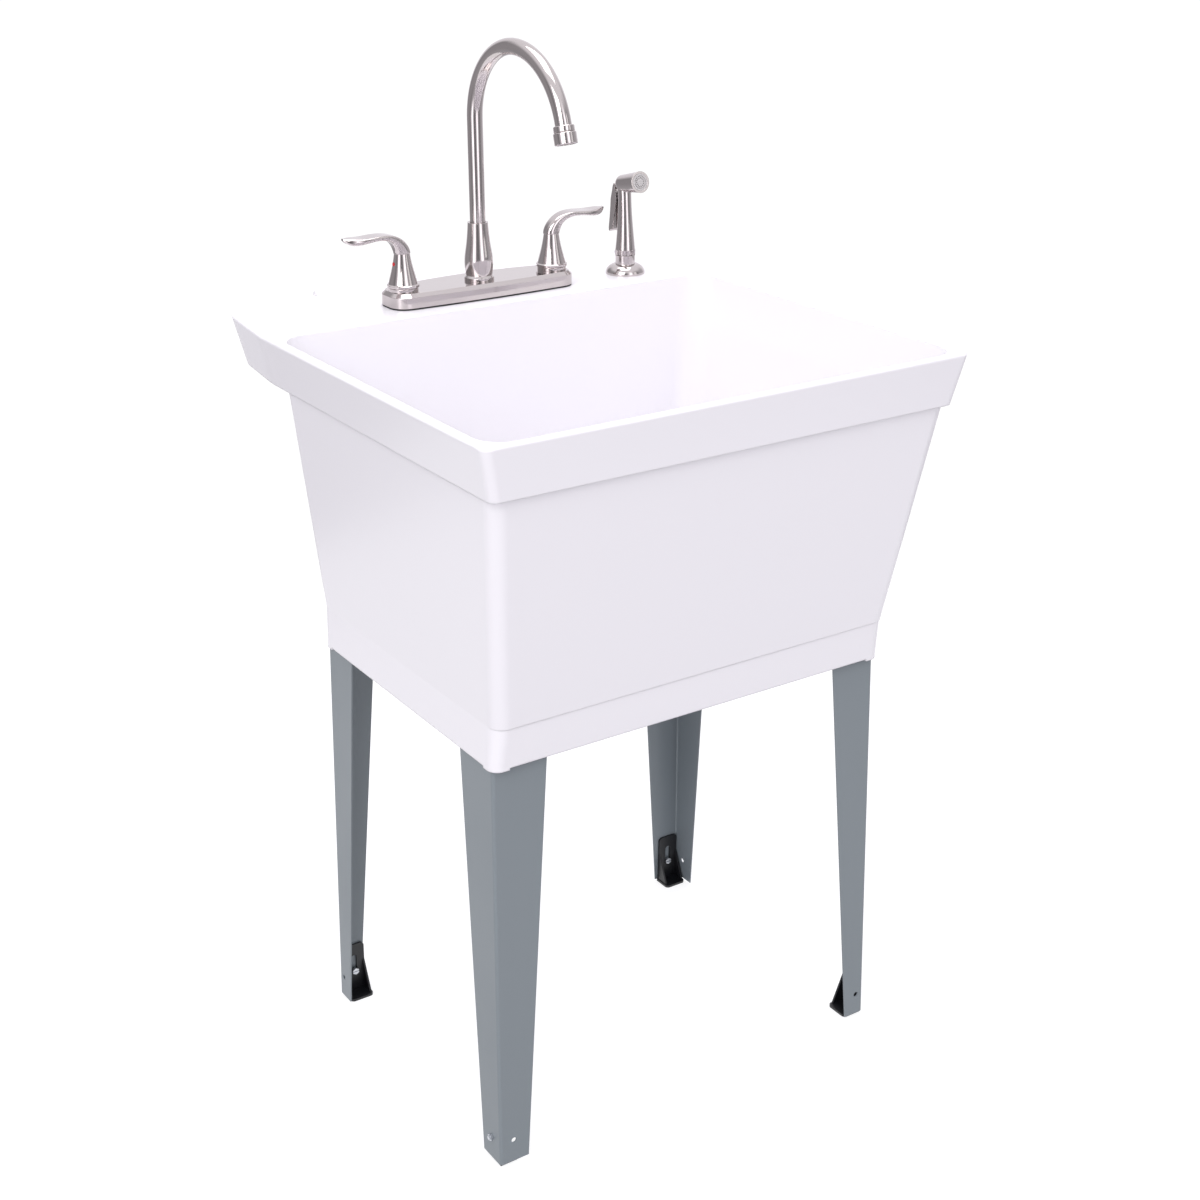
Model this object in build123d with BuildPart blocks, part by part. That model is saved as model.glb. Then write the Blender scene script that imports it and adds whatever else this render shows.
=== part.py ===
"""Freestanding utility laundry sink: a moulded plastic tub on four pressed-steel
legs with leveling feet, a two-handle gooseneck faucet with a side sprayer, and
the drain.

Units are millimetres. X runs to the user's right, Y from the user to the wall,
Z up. The origin is on the floor, under the middle of the rim.
"""

import os
from math import cos, radians, sin

from build123d import *

os.makedirs("parts", exist_ok=True)


# ---------------------------------------------------------------- driving sizes

# tub, outside
rim_width = 597.0           # across the rim
rim_depth = 635.0           # front edge of the rim to the back edge of the ledge
rim_height = 860.0          # floor to the top of the rim
rim_band = 57.0             # height of the turned-down band
rim_draft_side = 12.5       # how far the band's foot stands in, each side
rim_draft_end = 8.5         # the same at the front and the back
front_corner = 10.0         # plan radius of the front corners
back_corner = 58.0          # plan radius of the ledge's back corners
ledge_taper = 16.0          # the sides bend in by this much at the back edge
ledge_taper_length = 145.0
ledge_bend = 200.0          # radius where they start to bend in
body_step_side = 3.0        # body stands in from the band's foot
body_step_front = 5.5
ledge_depth = 169.0         # back wall of the basin to the back edge of the rim
body_draft_side = 26.0      # taper of the body down to its seam, each side
body_draft_front = 47.5
body_draft_back = 6.0
seam_height = 540.0         # where the body ends and the skirt starts
seam_step = 1.2             # skirt stands in under the seam, at the front
skirt_height = 47.5
skirt_flare_side = 1.0      # skirt widens downwards, each side
skirt_draft_front = 6.4
skirt_draft_back = 0.6
body_corner = 16.0
skirt_corner = 13.0         # the same at the skirt's lower edge
skirt_inner_back = 6.0      # inside the skirt, at the back, where the legs fit close
nub_drop = 2.5              # corner pads under the skirt
nub_size = 20.0

# tub, walls and inside
tub_wall = 4.0
skirt_wall = 3.0
lip_side = 11.0             # width of the rim on top, at the sides
lip_front = 8.0
basin_corner = 30.0         # plan radius inside
floor_radius = 26.0         # between floor and walls
floor_rise = 6.0            # basin floor, above the seam
floor_fall = 5.0            # slope down to the drain
floor_thickness = 4.0       # under the drain flange
rim_radius = 3.0
ledge_thickness = 5.0
apron_wall = 5.0            # band where it hangs around the ledge
apron_corner = 3.0
curb_height = 4.5           # low ridge along the ledge's back edge, hollow at the front
curb_crest = 12.0           # its top, from the back edge
curb_back = 2.5             # its back
curb_reach = 67.0           # its front
curb_ends = (-165.0, -112.0, 228.0, 264.0)      # starts to rise, full, full, has run out
curb_trace = 0.1            # height where it runs out
curb_root = 1.0             # depth it is sunk in the ledge
socket_rib = 3.0            # ribs that hold the legs in the skirt's corners
socket_length = 52.0
socket_height = 36.0

# legs
leg_thickness = 1.5
leg_bend = 3.5              # outside radius of the fold
leg_wide = (66.0, 36.5)     # flange width at the skirt's lower edge and at the foot
leg_narrow = (59.5, 28.0)
leg_splay_side = 8.8        # lower end of the leg stands out by this much
leg_splay_front = 10.5
leg_splay_back = 12.5
leg_inset_side = 0.5        # leg to the inside of the skirt
leg_inset_front = 5.1
leg_inset_back = 2.0
leg_clearance = 0.4         # leg to its socket ribs
leg_lift = 3.0              # leg ends this far above the floor
leg_hole = 3.1
leg_hole_height = 27.5      # above the leg's end
foot_hole_inset = 18.4      # from the fold, in the flange that holds the foot
spare_hole_wide = 17.5      # the same in the other flange
spare_hole_narrow = 11.0

# leveling feet
foot_width = 29.0
foot_base_width = 31.0
foot_depth = 25.0
foot_height = 69.0
foot_plate = 2.6
foot_base = 3.2
foot_gusset = 2.4
foot_gusset_height = 44.0
foot_corner = 5.0
foot_slot = 7.6
foot_travel = 20.0          # screw adjustment
foot_clearance = 0.3
foot_screw = 2.5
foot_screw_head = 4.6
foot_screw_head_height = 3.6
foot_screw_tail = 1.5
foot_nut = 4.3
foot_nut_height = 3.0
driver_slot_width = 1.1
driver_slot_depth = 1.4
screw_clearance = 0.05
nut_gap = 0.12              # nut to the leg, which leans

# ledge drilling
faucet_setback = 114.0      # back edge of the rim to the line of the holes
handle_spacing = 203.2      # 8 in centres
sprayer_offset = 210.0      # spout axis to sprayer axis
ledge_hole = 17.5           # 1 3/8 in holes

# deck plate and its gasket
gasket_thickness = 2.0
gasket_inset = 0.6
plate_length = 246.0
plate_end = 25.0            # half-depth of the plate at its ends
plate_front_bow = 4.0
plate_back_bow = 17.0
plate_corner = 20.0
plate_height = 16.5
plate_chamfer = 4.3
plate_wall = 2.0
plate_clearance = 0.4

# faucet body, heights above the ledge
body_foot = 2.7
waterway_radius = 6.0
waterway_lift = 0.6         # above the foot of the towers
waterway_bore = 4.0
tower_radius = 11.5
tower_top = 32.0
tower_bore = 8.2
tower_bore_foot = 12.0
shank_radius = 10.4         # 1/2 in pipe thread
shank_neck = 10.6           # above it, where the mounting nut sits
neck_margin = 1.0           # neck below the nut
shank_length = 58.0         # below the top of the ledge
shank_bore = 6.0
spout_tower_radius = 13.0
spout_tower_top = 42.0
spout_tower_bore = 10.6
spout_tower_bore_foot = 16.0
spout_port = 5.0
nipple_boss = 8.5
nipple_boss_length = 6.0
nipple_hex = 9.0
nipple_hex_height = 5.0
nipple_radius = 6.6         # 1/4 in pipe thread for the sprayer hose
nipple_length = 26.0
nipple_bore = 3.5
washer_thickness = 2.0
washer_radius = 22.0
shank_nut_height = 13.0
shank_nut_radius = 16.0
wing_span = 46.0
wing_thickness = 4.0
wing_height = 9.0
thread_clearance = 0.05
seal_clearance = 0.1

# spout, heights above the ledge
hub_flare = 17.8
hub_flare_height = 3.6
hub_outline = ((15.8, 24.6), (17.1, 35.7), (16.7, 46.8), (15.0, 57.8), (13.1, 73.4), (12.2, 86.5))
hub_wall = 1.4
hub_cone_foot = 48.0
hub_cone_top = 78.0
hub_cone_radius = 10.5
hub_lip = 6.0               # depth of the hole the tube comes through
spout_nut_foot = 34.0
spout_nut_wall = 1.3
spout_nut_top = 47.2
spout_nut_lip = 2.0
sleeve_foot = 17.0
sleeve_collar = 12.0
sleeve_collar_height = 2.4
spout_radius = 9.3
spout_wall = 1.0
spout_rise = 205.0          # ledge to the start of the bend
spout_back_radius = 87.0
spout_front_radius = 99.5
spout_end_angle = 165.0     # of bend, altogether
spout_turn = 1.4            # degrees to the right, the way the spout stands
spout_clearance = 0.3
running_clearance = 0.05
o_ring_section = 0.9
o_ring_first = 6.0          # above the sleeve's foot
o_ring_pitch = 10.0
diverter_radius = 4.9
diverter_height = 6.0
diverter_port = 2.0
aerator_adapter_radius = 11.8
aerator_adapter_length = 7.0
aerator_radius = 12.9
aerator_length = 13.0
aerator_wall = 1.6
aerator_thread = 4.0
aerator_insert_length = 6.0
aerator_recess = 1.5
aerator_holes = 12
aerator_hole = 0.8
aerator_edge = 0.8

# handles, heights above the ledge
collar_radius = 17.6
collar_height = 4.5
collar_edge = 0.8
handle_gap = 0.3
handle_base_radius = 19.0
handle_base_height = 2.5
handle_outline = ((17.5, 26.8), (14.3, 37.7), (11.6, 48.6), (9.3, 61.8))
handle_bell_radius = 15.4   # inside of the bell, at its foot
handle_bell = ((12.7, 35.0), (8.4, 44.0))
handle_screw_seat = 51.5
handle_screw_room = 55.5
lever_spigot = 5.5
lever_spigot_height = 5.0
lever_clearance = 0.1
lever_stations = (          # reach, height, lean of the section, half-width, half-thickness
    (1.8, 68.0, 18.0, 9.2, 8.6),
    (6.3, 74.2, 42.0, 9.2, 6.6),
    (13.5, 79.8, 66.0, 9.6, 4.4),
    (24.0, 83.0, 82.0, 10.6, 3.0),
    (38.0, 83.3, 90.0, 11.8, 2.6),
    (51.0, 82.2, 92.0, 12.0, 3.1),
    (61.0, 82.0, 88.0, 10.6, 3.9),
    (68.5, 83.1, 84.0, 7.4, 3.3),
    (74.5, 85.6, 80.0, 2.4, 1.1),
)
lever_roundness = 0.8       # corner radius of a section to its smaller half
cartridge_head = 10.6
cartridge_head_height = 4.0
cartridge_cavity = 7.3
cartridge_cavity_height = 3.3
stem_radius = 4.5
stem_disc = 6.9
stem_disc_height = 2.5
seat_height = 1.2
seat_bore = 4.0
handle_screw = 2.0
handle_screw_length = 12.0
handle_screw_head = 4.2
handle_screw_head_height = 2.6
index_height = 50.0
index_radius = 2.2
index_depth = 1.6
index_proud = 0.2

# side sprayer, heights above the ledge
holder_radius = 24.3
holder_edge = 2.5
holder_dome = 12.0
holder_dome_radius = 13.0
holder_dome_bulge = (20.8, 8.6)
holder_neck = 12.4
holder_neck_top = 23.0
holder_bore = 9.6
holder_shank = 13.5
holder_shank_length = 30.0
holder_washer_radius = 21.0
holder_nut_radius = 19.0
holder_nut_height = 9.0
coupling_ring = 10.9
coupling_top = 29.7
coupling_tail = 9.2
coupling_tail_length = 30.0
coupling_barb = 5.0
coupling_barb_length = 14.0
coupling_lug = 1.6
coupling_lug_width = 2.4
coupling_lugs = 10
water_bore = 3.0
grip_levels = ((coupling_top, 0.0, 12.4), (40.0, 0.0, 11.4), (51.0, 0.1, 10.4), (71.0, 0.6, 8.95),
               (91.0, 1.3, 8.3), (108.0, 2.6, 8.6))         # height, back, radius
head_root_back = 4.0
head_root_height = 110.3
head_root_radius = 10.4
head_tilt = 10.0            # degrees above level
head_length = 36.5
head_radius = 13.0
nozzle_radius = 10.2
nozzle_depth = 3.0
nozzle_ring_radius = 7.8
nozzle_ring_width = 1.0
nozzle_ring_depth = 0.8
nozzle_holes = 14
nozzle_hole = 0.7
trigger_outline = ((14.9, 108.5), (16.6, 109.2), (18.7, 105.0), (22.5, 89.0), (25.0, 68.0),
                   (27.2, 52.5), (26.8, 49.8), (25.0, 48.8), (23.4, 51.0), (22.0, 68.0),
                   (19.6, 88.0), (16.2, 104.0))
trigger_cheek = ((16.6, 109.2), (14.9, 108.5), (14.3, 106.0), (12.0, 100.0), (10.9, 92.0),
                 (15.5, 68.0), (19.6, 52.0), (25.5, 51.0), (23.0, 89.0), (18.5, 105.0))
trigger_cheek_wall = 1.5
trigger_lug = ((9.0, 103.3), (17.0, 101.8), (17.6, 106.0), (16.6, 109.2), (9.0, 111.7))
trigger_width = 13.0
trigger_lug_width = 6.0
trigger_pivot_back = 9.0
trigger_pivot_height = 107.5
trigger_lug_radius = 4.2
trigger_slot = 6.8
trigger_edge = 1.0
trigger_pin = 1.2
trigger_pin_length = 15.0
plunger_height = 92.0
plunger_radius = 2.4
plunger_tip = 18.1
plunger_root = 2.0
plunger_head = 3.4
plunger_head_length = 2.0
valve_bore = 4.0
valve_bore_root = -4.4
gland_radius = 4.8
gland_back = 9.0
gland_length = 3.2
spring_radius = 3.1
spring_wire = 0.3
spring_pitch = 0.9
spring_length = 2.6
angle_tolerance = 20.0      # degrees, picks the trigger's long edges

# drain
drain_recess = 2.0
drain_flange = 40.0
drain_flange_clearance = 0.5
drain_lip = 1.8
drain_hole = 22.5
drain_body = 21.5
drain_body_length = 44.0
drain_bore = 18.0
drain_cone = 21.0           # dished mouth the stopper seats in
drain_cone_depth = 6.0
drain_edge = 0.8
strainer_bar = 3.0
strainer_drop = 4.0         # below the mouth
drain_gasket_thickness = 3.0
drain_washer_thickness = 1.0
drain_gasket_radius = 32.0
drain_nut_flat = 28.0
drain_nut_height = 8.0
tailpiece_radius = 19.05    # 1 1/2 in tube
tailpiece_wall = 1.2
tailpiece_neck = 19.3       # where its nut sits
tailpiece_length = 80.0
tailpiece_flange = 21.2
tailpiece_flange_height = 2.0
tailpiece_washer_height = 2.0
coupling_nut_radius = 26.0
coupling_nut_height = 18.0
coupling_nut_lip = 3.0
coupling_nut_ribs = 8
coupling_nut_rib = 3.0
stopper_height = 9.0
stopper_draft = 0.35        # stopper to its seat
stopper_stem = 3.5
stopper_stem_height = 9.0
stopper_knob = 7.0
stopper_knob_height = 5.0


# --------------------------------------------------------------- worked-out sizes

front = -rim_depth / 2
deck = rim_height
faucet_y = -front - faucet_setback
handle_x = handle_spacing / 2
ledge_under = deck - ledge_thickness
band_foot = rim_height - rim_band
skirt_foot = seam_height - skirt_height
floor_at_wall = seam_height + floor_rise
floor_at_drain = floor_at_wall - floor_fall
floor_under = floor_at_drain - drain_recess - floor_thickness

rim_half = rim_width / 2
band_half = rim_half - rim_draft_side
body_half = band_half - body_step_side
seam_half = body_half - body_draft_side
skirt_half = seam_half + skirt_flare_side
body_front = front + rim_draft_end + body_step_front
body_back = -front - ledge_depth
seam_front = body_front + body_draft_front
seam_back = body_back - body_draft_back
skirt_front = seam_front + seam_step + skirt_draft_front
skirt_back = seam_back - skirt_draft_back
skirt_mid = (skirt_front + skirt_back) / 2
skirt_reach = (skirt_back - skirt_front) / 2

taper_y = -front - ledge_taper_length

leg_drop = skirt_foot - leg_lift
leg_hole_z = leg_lift + leg_hole_height
plate_top = gasket_thickness + plate_height


def export(part, name):
    """Label a finished piece and write it."""
    part.label = name
    export_step(part, "parts/" + name + ".step")


def plan_section(height, half, y_front, y_back, r_front, r_back):
    """One level of the tub: a rectangle with rounded corners."""
    with BuildSketch(Plane.XY.offset(height)) as section:
        with Locations((0, (y_front + y_back) / 2)):
            Rectangle(2 * half, y_back - y_front)
        fillet(section.vertices().group_by(Axis.Y)[0], r_front)
        fillet(section.vertices().group_by(Axis.Y)[-1], r_back)
    return section.sketch


def rim_section(height, half, y_front, y_back, r_front, r_back):
    """One level of the rim or of the hollow under the ledge: the sides bend in behind taper_y."""
    places = ((-half, y_front), (half, y_front), (half, taper_y), (half - ledge_taper, y_back),
              (ledge_taper - half, y_back), (-half, taper_y))
    with BuildSketch(Plane.XY.offset(height)) as section:
        with BuildLine():
            Polyline(*places, close=True)
        make_face()
        fillet(section.vertices().group_by(Axis.Y)[-1], r_back)
        fillet(section.vertices().group_by(Axis.Y)[1], ledge_bend)
        fillet(section.vertices().group_by(Axis.Y)[0], r_front)
    return section.sketch


def turning_plane(x, y, height=0.0):
    """Upright sketch plane: sketch x is the radius, sketch y the height."""
    return Plane(origin=(x, y, height), x_dir=(1, 0, 0), z_dir=(0, -1, 0))


def upright_axis(x, y):
    """The line a turned piece is made about."""
    return Axis((x, y, 0), (0, 0, 1))


# -------------------------------------------------------------------------- tub

wall_slope = body_draft_side / (band_foot - seam_height)
back_slope = body_draft_back / (band_foot - seam_height)
front_slope = body_draft_front / (band_foot - seam_height)
inner_floor_half = seam_half - tub_wall + wall_slope * floor_rise
inner_floor_front = seam_front + tub_wall - front_slope * floor_rise
inner_floor_back = seam_back - tub_wall + back_slope * floor_rise
drain_y = (inner_floor_front + inner_floor_back) / 2

basin_levels = (
    plan_section(rim_height, rim_half - lip_side, front + lip_front,
                 body_back - tub_wall + back_slope * rim_band, basin_corner, basin_corner),
    plan_section(band_foot, body_half - tub_wall, body_front + tub_wall,
                 body_back - tub_wall, basin_corner, basin_corner),
    plan_section(floor_at_wall, inner_floor_half, inner_floor_front, inner_floor_back,
                 basin_corner, basin_corner),
)
with BuildPart() as basin_space:
    loft(basin_levels, ruled=True)
    fillet(basin_space.edges().group_by(Axis.Z)[0], floor_radius)

ledge_levels = (
    rim_section(ledge_under, rim_half - apron_wall, body_back + back_slope * rim_band,
                -front - apron_wall, apron_corner, back_corner - apron_wall),
    rim_section(band_foot, band_half - apron_wall, body_back,
                -front - rim_draft_end - apron_wall, apron_corner, back_corner - apron_wall),
)
with BuildPart() as ledge_space:
    loft(ledge_levels, ruled=True)

dish_levels = (
    plan_section(floor_at_wall, inner_floor_half - floor_radius, inner_floor_front + floor_radius,
                 inner_floor_back - floor_radius, floor_radius, floor_radius),
    plan_section(floor_at_drain, drain_flange + drain_lip, drain_y - drain_flange - drain_lip,
                 drain_y + drain_flange + drain_lip, drain_flange, drain_flange),
)
with BuildPart() as floor_dish:
    loft(dish_levels, ruled=True)

skirt_space_levels = (
    plan_section(floor_under, seam_half - skirt_wall, seam_front + seam_step + skirt_wall,
                 seam_back - skirt_wall, skirt_corner - skirt_wall, skirt_inner_back),
    plan_section(skirt_foot - nub_drop, skirt_half - skirt_wall, skirt_front + skirt_wall,
                 skirt_back - skirt_wall, skirt_corner - skirt_wall, skirt_inner_back),
)
with BuildPart() as skirt_space:
    loft(skirt_space_levels, ruled=True)

rim_levels = (
    rim_section(rim_height, rim_half, front, -front, front_corner, back_corner),
    rim_section(band_foot, band_half, front + rim_draft_end, -front - rim_draft_end,
                front_corner, back_corner),
)
body_levels = (
    plan_section(band_foot, body_half, body_front, body_back, body_corner, body_corner),
    plan_section(seam_height, seam_half, seam_front, seam_back, body_corner, body_corner),
)
skirt_levels = (
    plan_section(seam_height, seam_half, seam_front + seam_step, seam_back,
                 body_corner, body_corner),
    plan_section(skirt_foot, skirt_half, skirt_front, skirt_back, skirt_corner, skirt_corner),
)

# legs: where the fold's outside corner stands, and where the sockets' ribs go
leg_x = skirt_half - skirt_wall - leg_inset_side
leg_y = skirt_reach - skirt_wall - (leg_inset_front + leg_inset_back) / 2
leg_mid = skirt_mid + (leg_inset_front - leg_inset_back) / 2
rise_side = leg_splay_side / leg_drop
rise_front = leg_splay_front / leg_drop
rise_back = leg_splay_back / leg_drop
rib_x = leg_x - rise_side * (floor_under - skirt_foot) - leg_thickness - leg_clearance
rib_y = leg_y - rise_back * (floor_under - skirt_foot) - leg_thickness - leg_clearance
crush_depth = skirt_wall + leg_inset_front - leg_clearance
crush_y = leg_mid - leg_y - leg_clearance - crush_depth / 2


def curb_section(x, height):
    """The ridge along the ledge's back edge, cut across: a hollow front and a round back."""
    crest = -front - curb_crest
    back = -front - curb_back
    start = -front - curb_reach
    with BuildSketch(Plane(origin=(x, 0, deck), x_dir=(0, 1, 0), z_dir=(1, 0, 0))) as section:
        with BuildLine():
            Line((start, -curb_root), (start, 0))
            TangentArc((start, 0), (crest, height), tangent=(1, 0))
            TangentArc((back, 0), (crest, height), tangent=(0, 1))
            Line((back, 0), (back, -curb_root))
            Line((back, -curb_root), (start, -curb_root))
        make_face()
    return section.sketch


curb_heights = (curb_trace, curb_height, curb_height, curb_trace)
curb_levels = [curb_section(x, height) for x, height in zip(curb_ends, curb_heights)]

with BuildPart() as tub:
    loft(rim_levels, ruled=True)
    fillet(tub.edges().group_by(Axis.Z)[-1], rim_radius)
    # the low ridge along the back
    loft(curb_levels, ruled=True)
    # tapered body and skirt
    loft(body_levels, ruled=True)
    loft(skirt_levels, ruled=True)
    # pads at the skirt's corners
    with BuildSketch(Plane.XY.offset(skirt_foot)):
        with Locations((0, skirt_mid)):
            RectangleRounded(2 * skirt_half, 2 * skirt_reach, skirt_corner)
            with GridLocations(2 * skirt_half - nub_size, 2 * skirt_reach - nub_size, 2, 2):
                Rectangle(nub_size, nub_size, mode=Mode.INTERSECT)
    extrude(amount=-nub_drop)
    # hollows
    add(basin_space.part, mode=Mode.SUBTRACT)
    add(floor_dish.part, mode=Mode.SUBTRACT)
    add(ledge_space.part, mode=Mode.SUBTRACT)
    add(skirt_space.part, mode=Mode.SUBTRACT)
    # ribs that make the four leg sockets: inside the angles, then outside the front ones
    with Locations((0, leg_mid, floor_under - socket_height / 2)):
        with GridLocations(2 * rib_x - socket_rib, 2 * rib_y - socket_length, 2, 2):
            Box(socket_rib, socket_length, socket_height)
        with GridLocations(2 * rib_x - socket_length, 2 * rib_y - socket_rib, 2, 2):
            Box(socket_length, socket_rib, socket_height)
    with Locations((0, crush_y, floor_under - socket_height / 2)):
        with GridLocations(2 * leg_x - socket_length, 0, 2, 1):
            Box(socket_rib, crush_depth, socket_height)
    # faucet and sprayer holes, drain hole and its recess
    with Locations((-handle_x, faucet_y, deck), (0, faucet_y, deck),
                   (handle_x, faucet_y, deck), (sprayer_offset, faucet_y, deck)):
        Hole(ledge_hole, depth=2 * ledge_thickness)
    with Locations((0, drain_y, floor_at_drain)):
        CounterBoreHole(drain_hole, drain_flange, drain_recess, depth=skirt_height)

export(tub.part, "tub")


# ------------------------------------------------------------------------- legs

def leg_corner(height, end):
    """Outside corner of the fold at a height, measured from the middle of the legs."""
    run = skirt_foot - height
    rise_end = rise_front if end < 0 else rise_back
    return leg_x + rise_side * run, leg_y + rise_end * run


def leg_section(height, side, end, flanges):
    """The pressed angle cut at one height."""
    x, y = leg_corner(height, end)
    top, bottom = flanges
    width = top + (bottom - top) * (skirt_foot - height) / leg_drop
    outline = ((0, 0), (width, 0), (width, leg_thickness), (leg_thickness, leg_thickness),
               (leg_thickness, width), (0, width))
    places = [(side * (x - u), leg_mid + end * (y - v)) for u, v in outline]
    with BuildSketch(Plane.XY.offset(height)) as section:
        with BuildLine():
            Polyline(*places, close=True)
        make_face()
        fillet(section.vertices().sort_by_distance((*places[0], 0))[0], leg_bend)
        fillet(section.vertices().sort_by_distance((*places[3], 0))[0], leg_bend - leg_thickness)
    return section.sketch


def make_leg(side, end, flanges, spare_inset):
    """One leg: the angle, splayed both ways, with a screw hole in each flange."""
    sections = (leg_section(floor_under, side, end, flanges),
                leg_section(leg_lift, side, end, flanges))
    x, y = leg_corner(leg_hole_z, end)
    insets = (foot_hole_inset, spare_inset)
    side_inset, end_inset = insets if end < 0 else reversed(insets)
    side_hole = (side * x, leg_mid + end * (y - side_inset), leg_hole_z)
    end_hole = (side * (x - end_inset), leg_mid + end * y, leg_hole_z)
    with BuildPart() as leg:
        loft(sections, ruled=True)
        with Locations(side_hole):
            Cylinder(leg_hole, 4 * leg_thickness, rotation=(0, 90, 0), mode=Mode.SUBTRACT)
        with Locations(end_hole):
            Cylinder(leg_hole, 4 * leg_thickness, rotation=(90, 0, 0), mode=Mode.SUBTRACT)
    return leg.part


# side of the sink, end of the sink, name, blank; the front feet bolt to the side flanges
# and the back feet to the end flanges
wide_blank = (leg_wide, spare_hole_wide)
narrow_blank = (leg_narrow, spare_hole_narrow)
corners = (
    (-1, -1, "front_left", wide_blank),
    (1, -1, "front_right", narrow_blank),
    (-1, 1, "back_left", narrow_blank),
    (1, 1, "back_right", wide_blank),
)

for side, end, corner_name, (flanges, spare_inset) in corners:
    export(make_leg(side, end, flanges, spare_inset), "leg_" + corner_name)


# --------------------------------------------------------------- leveling feet

def flange_plane(side, end, height):
    """Sketch plane across the flange a foot bolts to: x points inwards from the
    flange's outside face, y up."""
    x, y = leg_corner(height, end)
    if end < 0:
        origin = (side * x, leg_mid + end * (y - foot_hole_inset), 0)
        return Plane(origin=origin, x_dir=(-side, 0, 0), z_dir=(0, side, 0))
    origin = (side * (x - foot_hole_inset), leg_mid + end * y, 0)
    return Plane(origin=origin, x_dir=(0, -end, 0), z_dir=(-end, 0, 0))


def make_foot(side, end):
    """One foot: an upright that leans with the leg, a level base and two gussets."""
    across = flange_plane(side, end, 0)
    lean = rise_side if end < 0 else rise_back
    near = leg_thickness + foot_clearance
    far = near + foot_plate
    face_on = Plane(origin=across.origin, x_dir=-across.z_dir, z_dir=across.x_dir)
    slot_play = foot_slot / 2 - foot_screw - foot_clearance
    slot_run = foot_travel - 2 * slot_play
    with BuildPart() as foot:
        with BuildSketch(across):
            with BuildLine():
                Polyline((near, 0), (far, 0), (far + lean * foot_height, foot_height),
                         (near + lean * foot_height, foot_height), close=True)
            make_face()
        extrude(amount=foot_width / 2, both=True)
        fillet(foot.edges().group_by(Axis.Z)[-1].sort_by(SortBy.LENGTH)[:2], foot_corner)
        with BuildSketch(across):
            with Locations((near + foot_depth / 2, foot_base / 2)):
                Rectangle(foot_depth, foot_base)
        extrude(amount=foot_base_width / 2, both=True)
        fillet(foot.edges().filter_by(Axis.Z).sort_by_distance(across.origin)[-2:], foot_corner)
        for gusset_side in (-1, 1):
            with BuildSketch(across.offset(gusset_side * (foot_width - foot_gusset) / 2)):
                with BuildLine():
                    Polyline((far, 0), (near + foot_depth - foot_corner, 0),
                             (near + foot_depth - foot_corner, foot_base),
                             (far + lean * foot_gusset_height, foot_gusset_height), close=True)
                make_face()
            extrude(amount=foot_gusset / 2, both=True)
        with BuildSketch(face_on):
            with Locations((0, leg_hole_z + slot_play + slot_run / 2)):
                SlotCenterToCenter(slot_run, foot_slot, rotation=90)
        extrude(amount=far + foot_plate, mode=Mode.SUBTRACT)
    return foot.part


for side, end, corner_name, blank in corners:
    export(make_foot(side, end), "foot_" + corner_name)

flange_faces = []
for side, end, corner_name, blank in corners:
    across = flange_plane(side, end, leg_hole_z)
    hole_centre = across.origin + Vector(0, 0, leg_hole_z)
    flange_faces.append(Plane(origin=hole_centre, x_dir=(0, 0, 1), z_dir=across.x_dir))
head_seat = leg_thickness + 2 * foot_clearance + foot_plate

with BuildPart() as foot_screws:
    for face in flange_faces:
        with BuildSketch(face.offset(head_seat)):
            RegularPolygon(foot_screw_head, 6)
        extrude(amount=foot_screw_head_height)
        with BuildSketch(face.offset(head_seat + foot_screw_head_height)):
            Rectangle(driver_slot_width, 2 * foot_screw_head)
        extrude(amount=-driver_slot_depth, mode=Mode.SUBTRACT)
        with BuildSketch(face.offset(head_seat)):
            Circle(foot_screw)
        extrude(amount=-head_seat - foot_nut_height - foot_screw_tail)

with BuildPart() as foot_nuts:
    for face in flange_faces:
        with BuildSketch(face.offset(-nut_gap)):
            RegularPolygon(foot_nut, 6)
            Circle(foot_screw + screw_clearance, mode=Mode.SUBTRACT)
        extrude(amount=-foot_nut_height)

export(foot_screws.part, "foot_screws")
export(foot_nuts.part, "foot_nuts")


# ------------------------------------------------------------- deck plate, gasket

def plate_outline(inset):
    """Plan of the deck plate: bowed a little at the front and more at the back."""
    half = plate_length / 2 - inset
    end = plate_end - inset
    with BuildSketch() as outline:
        with BuildLine():
            ThreePointArc((-half, -end), (0, -end - plate_front_bow), (half, -end))
            Line((half, -end), (half, end))
            ThreePointArc((half, end), (0, end + plate_back_bow), (-half, end))
            Line((-half, end), (-half, -end))
        make_face()
        fillet(outline.vertices(), plate_corner - inset)
    return outline.sketch


plate_place = Location((0, faucet_y, deck + gasket_thickness))
with BuildPart(plate_place) as plate_space:
    add(plate_outline(plate_wall))
    extrude(amount=plate_height - plate_wall)
    chamfer(plate_space.edges().group_by(Axis.Z)[-1], plate_chamfer)

with BuildPart(plate_place) as deck_plate:
    add(plate_outline(0))
    extrude(amount=plate_height)
    chamfer(deck_plate.edges().group_by(Axis.Z)[-1], plate_chamfer)
    with Locations((-handle_x, 0), (handle_x, 0)):
        Hole(tower_radius + plate_clearance)
    with Locations((0, 0)):
        Hole(spout_tower_radius + plate_clearance)
with BuildPart() as deck_plate_shell:
    add(deck_plate.part)
    add(plate_space.part, mode=Mode.SUBTRACT)

with BuildPart(Location((0, faucet_y, deck))) as deck_gasket:
    add(plate_outline(gasket_inset))
    extrude(amount=gasket_thickness)
    with Locations((-handle_x, 0, gasket_thickness), (0, 0, gasket_thickness),
                   (handle_x, 0, gasket_thickness)):
        Hole(ledge_hole, depth=2 * gasket_thickness)

export(deck_plate_shell.part, "deck_plate")
export(deck_gasket.part, "deck_gasket")


# -------------------------------------------------------------- faucet body

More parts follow.
